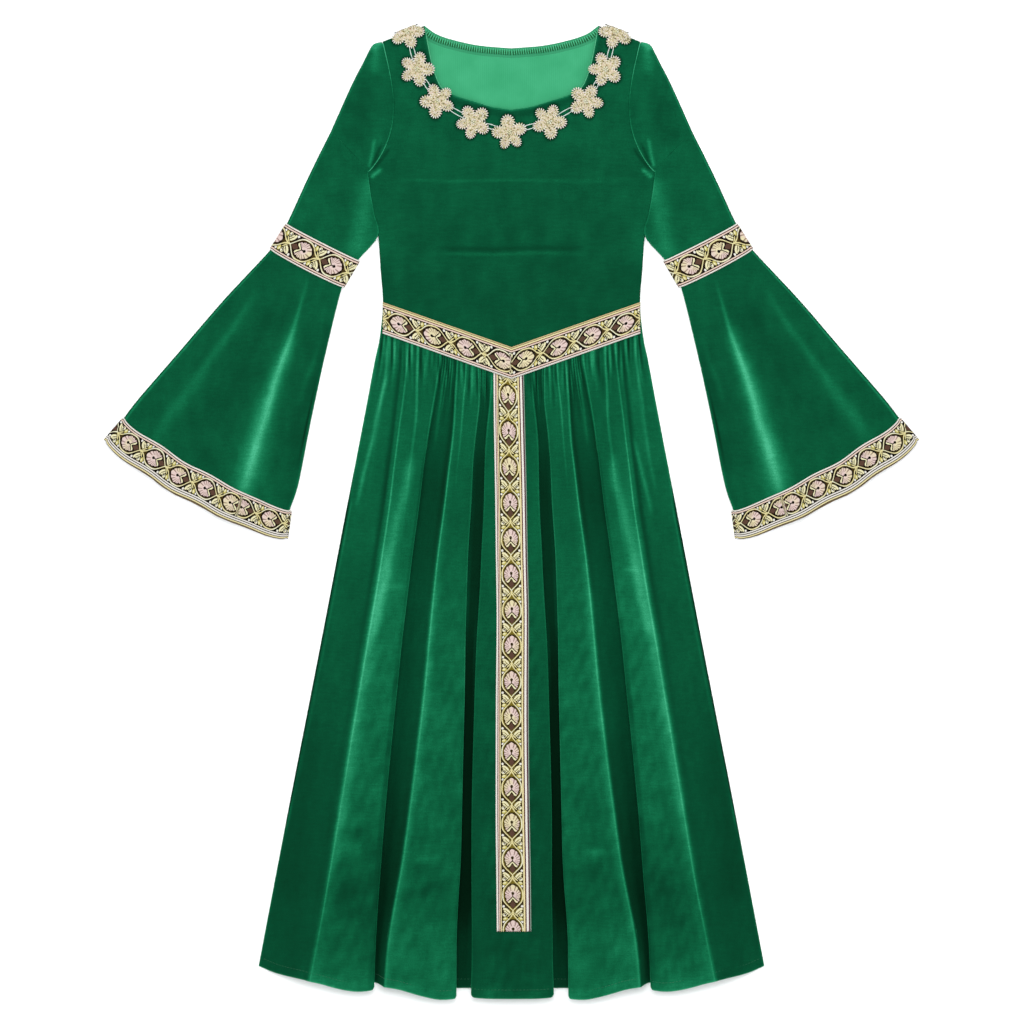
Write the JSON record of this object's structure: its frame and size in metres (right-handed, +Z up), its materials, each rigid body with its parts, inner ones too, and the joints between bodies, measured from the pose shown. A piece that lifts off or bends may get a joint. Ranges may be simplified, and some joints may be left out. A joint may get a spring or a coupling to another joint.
{
  "type": "medieval gown",
  "caption": "Child's velvet gown of medieval cut laid flat on its back, with bell sleeves, a pointed waist band, woven ribbon trim and lace flowers round the neckline.",
  "frame": {"origin": "centre of the bounding box at its underside, where the gown lies on the floor", "axes": "+Y from the hem to the neck, +X to the gown's left arm as it lies face up, +Z up from the floor"},
  "size_m": [0.8156, 0.974, 0.0207],
  "materials": {
    "velvet": "pile",
    "ribbon": "woven",
    "lace": "beaded"
  },
  "bodies": {
    "root": {"bodice_front": "velvet", "bodice_back": "velvet", "skirt_front": "velvet", "skirt_back": "velvet", "sleeve_left": "velvet", "sleeve_right": "velvet", "bell_left": "velvet", "bell_right": "velvet", "arm_band_left": "ribbon", "arm_band_right": "ribbon", "cuff_band_left": "ribbon", "cuff_band_right": "ribbon", "waist_band": "ribbon", "centre_strip": "ribbon", "flower_0": "lace", "flower_1": "lace", "flower_2": "lace", "flower_3": "lace", "flower_4": "lace", "flower_5": "lace", "flower_6": "lace", "flower_7": "lace", "flower_8": "lace", "cord_0_upper": "lace", "cord_0_lower": "lace", "cord_1_upper": "lace", "cord_1_lower": "lace", "cord_2_upper": "lace", "cord_2_lower": "lace", "cord_3_upper": "lace", "cord_3_lower": "lace", "cord_4_upper": "lace", "cord_4_lower": "lace", "cord_5_upper": "lace", "cord_5_lower": "lace", "cord_6_upper": "lace", "cord_6_lower": "lace", "cord_7_upper": "lace", "cord_7_lower": "lace"}
  },
  "joints": []
}
